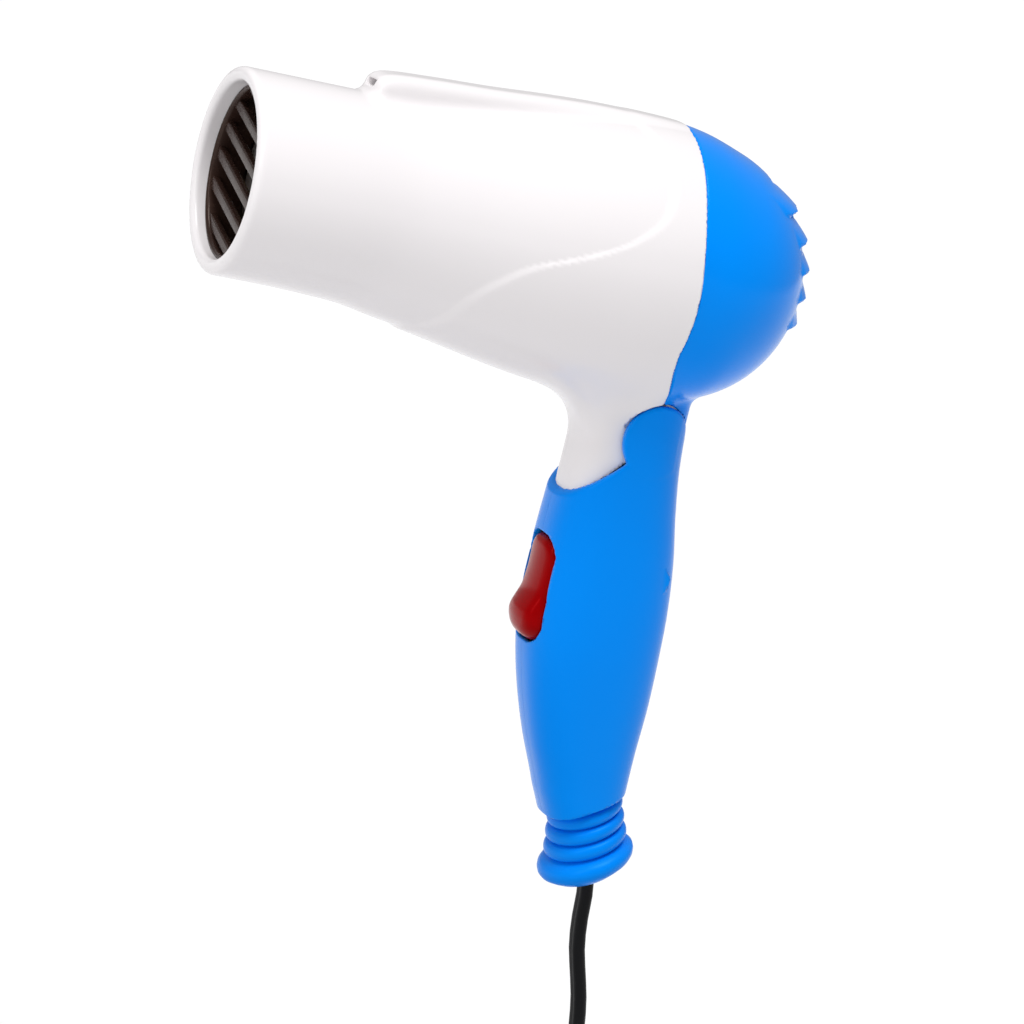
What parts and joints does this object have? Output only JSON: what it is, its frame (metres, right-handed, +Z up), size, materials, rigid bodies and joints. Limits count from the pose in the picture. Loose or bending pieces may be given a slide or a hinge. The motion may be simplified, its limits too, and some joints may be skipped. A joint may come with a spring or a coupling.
{
  "type": "hair dryer",
  "caption": "Folding travel hair dryer with a tapered barrel, a domed rear cover with ribbed intake, a folding handle with rocker switch, a bellows boot and a tied flat cord with plug.",
  "frame": {"origin": "middle of the grip, where a hand closes around the handle", "axes": "+Z up the handle towards the barrel, the nozzle blows towards -X, the handle's two shells meet on the XZ plane"},
  "size_m": [0.1649, 0.0628, 0.4002],
  "materials": {
    "white_shell": "high gloss moulded, faintly warm white",
    "blue_shell": "gloss moulded azure blue",
    "red_switch": "gloss moulded red",
    "brown_grille": "gloss heat-proof moulding, dark brown",
    "dark_screen": "fine moulded mesh",
    "mica": "layered mica board",
    "heater_wire": "drawn resistance wire",
    "steel": "plated steel",
    "brass": "turned or stamped",
    "copper": "enamelled winding",
    "ivory_plastic": "heat-proof moulding",
    "black_plastic": "moulded",
    "capacitor_skin": "dipped",
    "lead_insulation": "silicone sleeve",
    "cap_plastic": "moulded crimp cap",
    "blue_boot": "soft moulded sleeve",
    "black_cord": "extruded flexible insulation",
    "plug_rubber": "moulded-on plug",
    "tie_plastic": "flexible band",
    "pin_metal": "nickel plate"
  },
  "bodies": {
    "handle": {"handle_left": "blue_shell", "handle_right": "blue_shell", "handle_screws": "steel", "detent_spring": "steel", "switch_housing": "ivory_plastic", "switch_contacts": "brass", "handle_leads": "lead_insulation", "crimp_caps": "cap_plastic", "cord_clamp": "ivory_plastic", "clamp_screws": "steel", "cord_boot": "blue_boot", "cord_entry": "black_cord", "cord_lead": "black_cord", "cord_hank": "black_cord", "cord_tie": "tie_plastic", "cord_tail": "black_cord", "plug_body": "plug_rubber", "plug_pins": "pin_metal"},
    "head": {"barrel_shell": "white_shell", "rear_cover": "blue_shell", "intake_screen": "dark_screen", "outlet_grille": "brown_grille", "mica_sleeve": "mica", "mica_boards": "mica", "heater_coils": "heater_wire", "thermostat": "steel", "thermal_fuse": "brass", "motor_carrier": "ivory_plastic", "motor_can": "steel", "motor_end_cap": "black_plastic", "motor_bushes": "brass", "rectifier_diodes": "black_plastic", "suppression_capacitor": "capacitor_skin", "head_leads": "lead_insulation"},
    "fan": {"impeller": "black_plastic", "motor_shaft": "steel", "armature": "copper"},
    "rocker": {"switch_rocker": "red_switch"}
  },
  "joints": [
    {"name": "fold", "type": "hinge", "parent": "handle", "child": "head", "pos_m": [0, 0, 0.053], "axis": [0, -1, 0], "range_deg": [0, 54]},
    {"name": "rocker_tilt", "type": "hinge", "parent": "handle", "child": "rocker", "pos_m": [-0.0122, 0, 0.0136], "axis": [0, -1, 0], "range_deg": [0, 22]},
    {"name": "fan_spin", "type": "hinge", "parent": "head", "child": "fan", "pos_m": [0, 0, 0.095], "axis": [1, 0, 0], "continuous": true}
  ]
}
